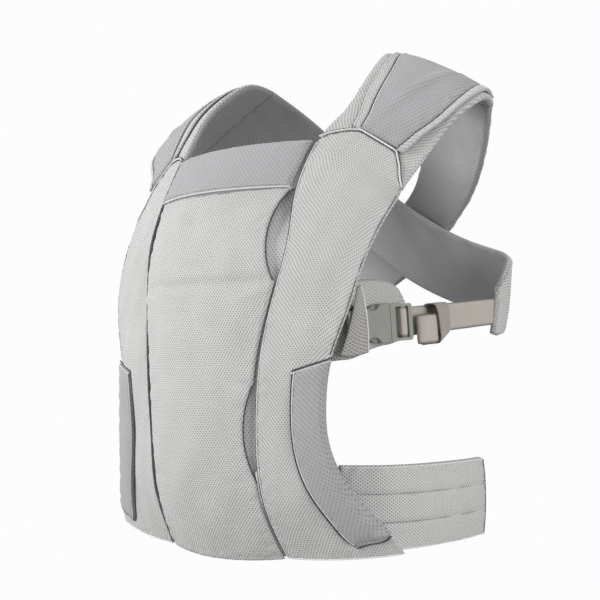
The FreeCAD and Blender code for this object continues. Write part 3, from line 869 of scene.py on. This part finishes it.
def flank_seams(side, flank):
    """Piping, seam shadows and stitches of the flank, leg pad and strap."""
    bag = Bag()
    on_surface(bag, flank, (-0.045, 0.04, 0.03, 2.4), (6, 70), 1.2, lift=-2.2, slots=(LIGHT, LIGHT))
    cord(bag, flank, lengthways(0, 0.09, 9.96, 30), -1.2, 0.65, SHADOW, 240)
    cord(bag, flank, lengthways(0.018, 0.09, 9.96, 30), 0.1, 0.55, LIGHT, 240)
    for edge, first, last, shift, lift, radius, kind in EDGE_CORDS:
        line = edge_line(edge, np.linspace(first, last, 60), shift)
        cord(bag, flank, line, lift, radius, kind, 160)
    seam = [(u, float(strap_seam(u))) for u in np.linspace(0.01, 0.99, 50)]
    cord(bag, flank, seam, 0.9, 1, LIGHT, 160)
    cord(bag, flank, [(u, v + 0.035) for u, v in seam], 0.5, 0.8, SHADOW, 160)
    cord(bag, flank, PAD_SEAM, 5.9, 0.6, TAPE, 90)
    on_surface(bag, flank, (0.075, 0.955, 14.82, 15), (60, 6), 1.6, rim=0.7, lift=5.2, slots=(TAPE, TAPE))
    shares = np.linspace(0, 1, 12)
    upper = [(0.515 + 0.48 * s, float(leg_upper(np.array(s)))) for s in shares]
    cord(bag, flank, upper, 1, 0.8, SHADOW, 60)
    cord(bag, flank, [(u, v - 0.07) for u, v in upper], 2.9, 0.6, LIGHT, 60)
    lower = [(0.665 + 0.33 * s, float(leg_lower(np.array(s))) - 0.03) for s in shares]
    cord(bag, flank, lower, 0.8, 0.8, SHADOW, 60)
    cord(bag, flank, [(0.01, 0.05), (0.99, 0.05)], 0.2, 0.7, LIGHT, 80)
    cord(bag, flank, lengthways(0.972, 5.1, 9.95, 20), -0.15, 0.45, SHADOW, 160)
    sew(bag, flank, lengthways(0.955, 5.1, 9.95, 20), 0.1, 160, radius=0.35)
    trim_piece(f"{side}_seams", bag)


for side, sign in SIDES.items():
    flank = Surface(FLANK, sign)
    flank_cloth(side, flank)
    shoulder_strap(side, flank)
    strap_edges(side, flank)
    flank_seams(side, flank)

# -------- back straps
BACK = [
    ((98.6, 62.5, 552.6), (229.4, 54.5, 482.2), ((0.45, 0.38, 0.85), 3)),
    ((84, 112, 527), (188, 106, 450), ((0.45, 0.65, 0.6), 4)),
    ((56, 160, 484), (128, 162, 410), ((0.35, 0.9, 0.3), 4)),
    ((14, 195, 432), (62, 196, 366), ((0.1, 1, 0), 3)),
    ((-44, 206, 388), (-6, 206, 316), ((0, 1, 0), 2)),
    ((-102, 207, 357), (-76, 206, 281), ((-0.1, 1, 0), 2)),
    ((-150, 200, 340), (-138, 194, 258), ((-0.5, 0.85, 0), 3)),
    ((-177, 177, 325), (-172, 168, 241), ((-0.95, 0.3, 0), 3)),
    ((-180, 155, 305), (-178, 147, 234), ((-1, 0.05, 0), 2)),
    ((-178, 141, 288), (-177, 135, 236), ((-1, 0, 0), 1)),
]
# The left strap crosses outside the right one, so its back part stands further out.
LAYERS = {"left": [0, 6, 18, 24, 22, 16, 8, 2, 0, 0], "right": [0] * len(BACK)}


def raised(row, lift):
    """A row of the strap moved outwards from the back."""
    (x1, y1, z1), (x2, y2, z2), bulge = row
    return (x1, y1 + lift, z1), (x2, y2 + lift, z2), bulge


for side, sign in SIDES.items():
    back = Surface([raised(row, lift) for row, lift in zip(BACK, LAYERS[side])], sign)
    pad_piece(
        f"{side}_back_strap_pad", back, (0, 1, 0.01, 9), (40, 170), 8,
        [f"{side}_back_strap"], STRAP_CLOTH, fill=0.4,
        rim=3.6, crown=0.8, reach=16, rough=0.8, seed=29, pucker=0.6, slots=(0, 1), lift=-0.2,
    )
    bag = Bag()
    for share in (0.085, 0.915):
        sew(bag, back, lengthways(share, 0.03, 8.9, 40), 0.5, 260)
    for share in (0.045, 0.955):
        cord(bag, back, lengthways(share, 0.03, 8.97, 40), 0, 0.7, TAPE, 260)
    sew(bag, back, [(0.1, 8.75), (0.9, 8.75)], 0.4, 30)
    trim_piece(f"{side}_back_strap_seams", bag)

# -------- waistband
# Seen from above: place and outward direction.
WAIST_FRONT = [
    ((-124, -92), (-0.5, -0.9)),
    ((-65, -111), (-0.2, -1)),
    ((0, -118), (0, -1)),
    ((65, -111), (0.2, -1)),
    ((124, -92), (0.5, -0.9)),
]
WAIST_ARM = [
    ((126.5, -90.5), (0.5, -0.9)),
    ((160, -62), (0.8, -0.6)),
    ((176, -25), (1, -0.25)),
    ((182, 30), (1, 0)),
    ((180, 80), (1, 0.06)),
    ((175.5, 112), (1, 0.15)),
]
WAIST_LOW = 10.0
WAIST_HIGH = 98.0
QUILT_LINES = (0.335, 0.665)


def upright(plan, low, high, bulge):
    """Rows of a band that stands on edge and follows plan points."""
    return [((x, y, low), (x, y, high), ((nx, ny, 0), bulge)) for (x, y), (nx, ny) in plan]


band = Surface(upright(WAIST_FRONT, WAIST_LOW, WAIST_HIGH, 2), facing=-1)
pad_piece(
    "waistband_front_pad", band, (0, 1, 0, 4), (50, 80), 11,
    ["waistband_front"], LIGHT_CLOTH, fill=0.5,
    rim=5, rough=0.5, seed=31, channels=QUILT_LINES, groove=1.3,
)
for side, sign in SIDES.items():
    arm = Surface(upright(WAIST_ARM, WAIST_LOW, WAIST_HIGH, 3), sign, facing=-1)
    pad_piece(
        f"{side}_waistband_pad", arm, (0, 1, 0, 5), (54, 130), 11,
        [f"{side}_waistband_arm"], LIGHT_CLOTH, fill=0.5,
        rim=5, rough=0.6, seed=37, channels=QUILT_LINES, pucker=0.4,
        swell={"hold": 4.5, "pressure": 3, "cap": 2.5},
    )
    bag = Bag()
    for share in QUILT_LINES:
        line = lengthways(share, 0.1, 4.86, 30)
        # Dark cord in each quilt channel: painted shadow.
        cord(bag, arm, line, -1.35, 0.5, SHADOW, 260)
        sew(bag, arm, line, -0.85, 260, length=2.6, gap=1.2, radius=0.4)
    for share in (0.03, 0.97):
        cord(bag, arm, lengthways(share, 0.05, 4.95, 30), -0.9, 0.8, LIGHT, 200)
    sew(bag, arm, [(0.05, 4.83), (0.95, 4.83)], 0.6, 40)
    cord(bag, arm, [(0.04, 4.9), (0.96, 4.9)], 0.2, 0.7, SHADOW, 40)
    trim_piece(f"{side}_waistband_seams", bag)

# -------- buckle flaps and covers
# Lowest point, highest point and bulge.
FLAP = [
    ((141, -127, 202), (146, -124, 277), 1),
    ((151.5, -122, 203), (154.5, -119, 278), 1),
    ((156.5, -110, 204), (156.5, -110, 281), 1),
    ((160.5, -85, 212), (160.5, -85, 286), 1),
    ((164.5, -60, 219), (164.5, -60, 286), 1),
    ((167.5, -39, 225), (167.5, -39, 278), 1),
    ((169, -30, 233), (169, -30, 266), 0.5),
]
COVER = [
    ((159.5, -129, 207), (171, -116.5, 276), 3),
    ((166.5, -121.5, 206), (172.5, -113.5, 277), 3.5),
    ((175.5, -103, 211), (171, -110.5, 277), 4),
]
SIDEWAYS = (1, -0.25, 0)
FLAP_STITCHES = [
    (0.04, 1.5), (0.04, 4.6), (0.12, 5.5), (0.3, 5.85),
    (0.7, 5.85), (0.88, 5.5), (0.96, 4.6), (0.96, 1.5),
]
for side, sign in SIDES.items():
    flap, cover = (
        Surface([(low, high, (SIDEWAYS, bulge)) for low, high, bulge in rows], sign, facing=-1)
        for rows in (FLAP, COVER)
    )
    pad_piece(
        f"{side}_buckle_flap", flap, (0, 1, 0, 6), (40, 70), 6,
        [f"{side}_buckle_pad"], ("spacer_mesh_dark", FLAP_MESH), fill=0.4,
        rim=2.9, crown=0.6, reach=14, rough=0.4, seed=41, pucker=0.3,
        swell={"hold": 3.5, "pressure": 2.5, "cap": 1},
    )
    sheet_piece(
        f"{side}_buckle_cover", cover, (0, 1, 0, 2), (36, 24), 2.2,
        [f"{side}_buckle_sleeve"], ("spacer_mesh_dark", SLEEVE_MESH_PAINTED_SHADE), rim=1.1, rough=0.3, seed=43,
    )
    bag = Bag()
    cord(bag, cover, [(0.01, 1.95), (0.99, 1.95)], 0, 0.9, LIGHT, 50)
    sew(bag, cover, [(0.03, 1.78), (0.97, 1.78)], 0.2, 50, radius=0.35)
    sew(bag, flap, FLAP_STITCHES, 0.3, 140, radius=0.35)
    trim_piece(f"{side}_buckle_seams", bag)

# -------- webbing
WEBBING_WIDTH = 30.0
WEBBING_THICK = 1.6
WEBBING_COLUMNS = 9
WRAP_PATH = [
    (36, -3.7), (26.6, -3.7), (25, -2.6), (24.6, 0), (24.4, 2.8), (23, 3.7), (19, 3.7),
    (17.6, 2.8), (17.4, 0), (17.4, -3), (17.8, -5), (19.2, -5.9), (36, -5.9),
]
ANCHOR_PATH = [
    (-54, -1.1), (-48, -1.4), (-45.4, -3.9), (-39, -3.9),
    (-39, 3.9), (-45.4, 3.9), (-48, 1.4), (-54, 1.1),
]
SIDE_MOUTH = (173, -68.6, 241.4)
SIDE_ALONG = (0.173, 0.981, 0.087)
SIDE_OUTWARD = (0.985, -0.173, 0)
WEBBING_START = (175.2, -31, 244.7)
WEBBING_END = (173.9, 150, 263.2)
# The side webbing starts inside the wrap; these are distances from its two ends.
WEBBING_TUCK = -4.0
DEFORM_FROM_PLUG = 92.0
DEFORM_FROM_TAB = 10.0
WAIST_MOUTH = (0, 168, 53)
ROLL_MIDDLE = (18.4, 8.4)
ROLL_HALF = (16.8, 6.6)
ROLL_TURNS = 3.2
ROLL_DROP = 10.0
ROLL_THICK = 1.5
KEEPER_MIDDLE = 42.0
KEEPER_LENGTH = 32.0
KEEPER_INNER = -3.4
KEEPER_DEPTH = 21.6
KEEPER_HEIGHT = 44.0
KEEPER_THICK = 1.6
KEEPER_RIM = 0.9
KEEPER_DROP = 5.0
KEEPER_SLANT = 6.0
KEEPER_TAPER = 0.24


class Place:
    """Local frame of a buckle or strap: x along it, y outward, z across its width."""

    def __init__(self, origin, along, outward, sign=1):
        mirror = np.array([sign, 1, 1])
        self.origin = np.array(origin, float) * mirror
        along = np.array(along, float) * mirror
        outward = np.array(outward, float) * mirror
        self.along = along / np.linalg.norm(along)
        outward = outward - self.along * (outward @ self.along)
        self.outward = outward / np.linalg.norm(outward)
        self.across = np.cross(self.along, self.outward)
        if self.across[2] < 0:
            self.across = -self.across

    def point(self, local):
        local = np.asarray(local, float)
        return (self.origin + local[..., [0]] * self.along + local[..., [1]] * self.outward
                + local[..., [2]] * self.across)


def even_path(points, count):
    """Evenly spaced points along a path of straight runs."""
    points = np.array(points, float)
    run = arc_lengths(points)
    at = np.linspace(0, run[-1], count)
    return np.stack([np.interp(at, run, column) for column in points.T], 1)


def ribbon(place, path, thick=WEBBING_THICK):
    """Strip of webbing: the path is in the local x and y, and the width is along local z."""
    grid = np.zeros((len(path), WEBBING_COLUMNS, 3))
    grid[..., 2] = np.linspace(-WEBBING_WIDTH / 2, WEBBING_WIDTH / 2, WEBBING_COLUMNS)
    grid[..., : path.shape[1]] += path[:, None]
    bag = Bag()
    cushion(bag, place.point(grid), place.outward, thick, rim=thick * 0.55, lift=thick / 2)
    return bag


def rolled_tail(place):
    """Flattened coil of webbing with a loose end tucked in."""
    turn = np.linspace(0, ROLL_TURNS * math.tau, 170)
    shrink = 1 - 0.17 * turn / math.tau
    wide = np.sign(np.cos(turn)) * np.abs(np.cos(turn)) ** 0.8 * shrink
    half_depth = ROLL_HALF[1] - 1.75 * turn / math.tau
    x = ROLL_MIDDLE[0] + ROLL_HALF[0] * wide
    y = ROLL_MIDDLE[1] + half_depth * np.sin(turn)
    z = 0.9 * np.sin(turn * 0.7)
    return ribbon(place, np.stack([x, y, z], 1), ROLL_THICK)


def keeper_loop(place):
    """Elastic loop round the webbing and the rolled tail; it narrows past the roll."""
    turn = np.linspace(0, math.tau, 97)
    round_y = np.sign(np.sin(turn)) * np.abs(np.sin(turn)) ** 0.55
    round_z = np.sign(np.cos(turn)) * np.abs(np.cos(turn)) ** 0.45
    share = np.linspace(0, 1, 15)
    slant = KEEPER_SLANT * (0.5 - round_z / 2)
    highest = KEEPER_HEIGHT / 2 - KEEPER_RIM
    lowest = -highest
    low = lowest + (highest - lowest) * KEEPER_TAPER * share
    inner = KEEPER_INNER + KEEPER_RIM
    outer = inner + (KEEPER_DEPTH - 2 * KEEPER_RIM) * (1 - KEEPER_TAPER * share)
    grid = np.zeros((len(turn), len(share), 3))
    grid[..., 0] = (KEEPER_MIDDLE - KEEPER_LENGTH / 2 + slant)[:, None] * (1 - share)
    grid[..., 0] += (KEEPER_MIDDLE + KEEPER_LENGTH / 2) * share
    grid[..., 1] = (outer + inner) / 2 + round_y[:, None] * (outer - inner) / 2
    grid[..., 2] = (highest + low) / 2 + round_z[:, None] * (highest - low) / 2
    bag = Bag()
    cushion(bag, place.point(grid), place.outward, KEEPER_THICK, rim=KEEPER_RIM, lift=KEEPER_THICK / 2)
    return bag


def webbing_piece(name, bag, body, node, material=WEBBING):
    """A body is a name that the piece is attached to, or (body, other body, start, end), for which the piece
    is only baked in place.
    """
    piece = bag.make(name, [material])
    if isinstance(body, str):
        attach(piece, body)
    else:
        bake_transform(piece)
    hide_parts(node)


buckles = {"waist": Place(WAIST_MOUTH, (1, 0, 0), (0, 1, 0))}
for side, sign in SIDES.items():
    buckles[side] = Place(SIDE_MOUTH, SIDE_ALONG, SIDE_OUTWARD, sign)
for name, place in buckles.items():
    wrap = ribbon(place, even_path(WRAP_PATH, 90))
    webbing_piece(f"{name}_wrap_webbing", wrap, f"{name}_plug", f"{name}_webbing_wrap")
    anchor = ribbon(place, even_path(ANCHOR_PATH, 60))
    webbing_piece(f"{name}_anchor_webbing", anchor, "carrier", f"{name}_webbing_anchor")

run = np.subtract(WEBBING_END, WEBBING_START)
length = float(np.linalg.norm(run))
strip = np.stack([np.linspace(WEBBING_TUCK, length, 80), np.zeros(80)], 1)
for side, sign in SIDES.items():
    level, roll_level, keeper_level = (
        Place(np.subtract(WEBBING_START, (0, 0, drop)), run, (1, 0, 0), sign)
        for drop in (0, ROLL_DROP, KEEPER_DROP)
    )
    start = tuple(level.point((length - DEFORM_FROM_TAB, 0, 0)) * MM)
    end = tuple(level.point((DEFORM_FROM_PLUG, 0, 0)) * MM)
    webbing_piece(
        f"{side}_side_strap", ribbon(level, strip), ("carrier", f"{side}_plug", start, end),
        f"{side}_side_webbing",
    )
    webbing_piece(f"{side}_rolled_tail", rolled_tail(roll_level), f"{side}_plug", f"{side}_webbing_roll")
    webbing_piece(
        f"{side}_elastic_keeper", keeper_loop(keeper_level), f"{side}_keeper",
        f"{side}_webbing_keeper", ELASTIC,
    )

# The waist webbing, seen from above: place and outward direction, first the ends at the buckle.
WAIST_START = {
    "left": [((34.5, 165.2), (0, 1)), ((70, 162.5), (0.15, 1))],
    "right": [((52.5, 168.8), (0.1, 1)), ((80, 163), (0.25, 1))],
}
WAIST_REST = [
    ((106, 153.5), (0.4, 0.9)),
    ((138, 136), (0.6, 0.8)),
    ((158.5, 111), (0.9, 0.4)),
    ((168.5, 94), (0.95, 0.3)),
]
WAIST_BODIES = {
    "left": ("carrier", "waist_plug", (0.150, 0.122, 0.053), (0.040, 0.165, 0.053)),
    "right": "carrier",
}
low, high = WAIST_MOUTH[2] - WEBBING_WIDTH / 2, WAIST_MOUTH[2] + WEBBING_WIDTH / 2
for side, sign in SIDES.items():
    waist = Surface(upright(WAIST_START[side] + WAIST_REST, low, high, 0.001), sign)
    bag = Bag()
    on_surface(bag, waist, (0, 1, 0, 5), (WEBBING_COLUMNS, 130), WEBBING_THICK, rim=0.9)
    webbing_piece(f"{side}_waist_strap", bag, WAIST_BODIES[side], f"{side}_waist_webbing")

# -------- buckle parts keep their CAD shape
for name in buckles:
    for part in ("buckle_socket", "buckle_plug", "buckle_prong_a", "buckle_prong_b"):
        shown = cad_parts[f"{name}_{part}"]
        shown.data.materials.clear()
        # The prongs get the darker plastic copy, which is painted shade.
        shown.data.materials.append(PRONG_PAINTED_SHADE if "prong" in part else PLASTIC)


# -------- floor, light and camera
FLOOR_HALF = 30.0
FLOOR_HEIGHT = -0.6
PALE = 0.98
CAMERA_TURN = math.radians(40.0)
CAMERA_TILT = math.radians(3.807)
CAMERA_PLACE = (0.8376, -0.9981, 0.189)


def seen_by_camera(tree, lit, plain, surface):
    """The camera sees the plain shader, and light meets the lit one."""
    path = tree.nodes.new("ShaderNodeLightPath")
    choice = tree.nodes.new("ShaderNodeMixShader")
    sources = (path.outputs["Is Camera Ray"], lit.outputs[0], plain.outputs[0])
    for source, socket in zip(sources, choice.inputs):
        tree.links.new(source, socket)
    tree.links.new(choice.outputs[0], surface)


def pale_floor():
    mesh = bpy.data.meshes.new("floor")
    corners = [(-1, -1), (1, -1), (1, 1), (-1, 1)]
    places = [(x * FLOOR_HALF, y * FLOOR_HALF, FLOOR_HEIGHT) for x, y in corners]
    mesh.from_pydata(places, [], [(0, 1, 2, 3)])
    paper, tree = new_material("pale_floor")
    shader = tree.nodes["Principled BSDF"]
    set_inputs(shader, {"Base Color": (0.3, 0.3, 0.3, 1.0), "Roughness": 1.0, "Specular IOR Level": 0.0})
    glow = tree.nodes.new("ShaderNodeEmission")
    set_inputs(glow, {"Strength": PALE})
    seen_by_camera(tree, shader, glow, tree.nodes["Material Output"].inputs["Surface"])
    mesh.materials.append(paper)
    new_object("floor", mesh)


def pale_world():
    world = bpy.data.worlds.new("studio")
    world.use_nodes = True
    tree = world.node_tree
    ambient = tree.nodes["Background"]
    backdrop = tree.nodes.new("ShaderNodeBackground")
    for shader, strength in ((ambient, 0.55), (backdrop, PALE)):
        set_inputs(shader, {"Color": (1.0, 1.0, 1.0, 1.0), "Strength": strength})
    seen_by_camera(tree, ambient, backdrop, tree.nodes["World Output"].inputs["Surface"])
    bpy.context.scene.world = world


def area_light(name, place, target, size, power):
    data = bpy.data.lights.new(name, "AREA")
    data.shape = "DISK"
    data.size = size
    data.energy = power
    lamp = new_object(name, data)
    lamp.location = place
    aim = Vector(target) - Vector(place)
    lamp.rotation_euler = aim.to_track_quat("-Z", "Y").to_euler()


pale_floor()
pale_world()
bpy.context.scene.view_settings.view_transform = "Standard"
area_light("key", (-1.6, -2.0, 0.95), (0.0, 0.0, 0.25), 1.2, 70.0)
area_light("side", (2.4, -0.4, 0.3), (0.0, 0.0, 0.2), 1.3, 34.0)
area_light("top", (0.2, 0.2, 2.4), (0.0, 0.0, 0.3), 1.6, 4.0)

camera_data = bpy.data.cameras.new("camera")
camera_data.sensor_width = 36.0
camera_data.lens = 67.62
camera_data.clip_start = 0.05
camera_data.clip_end = 50.0
camera = new_object("camera", camera_data)
camera.location = CAMERA_PLACE
camera.rotation_euler = (math.pi / 2 + CAMERA_TILT, 0.0, CAMERA_TURN)
bpy.context.scene.camera = camera
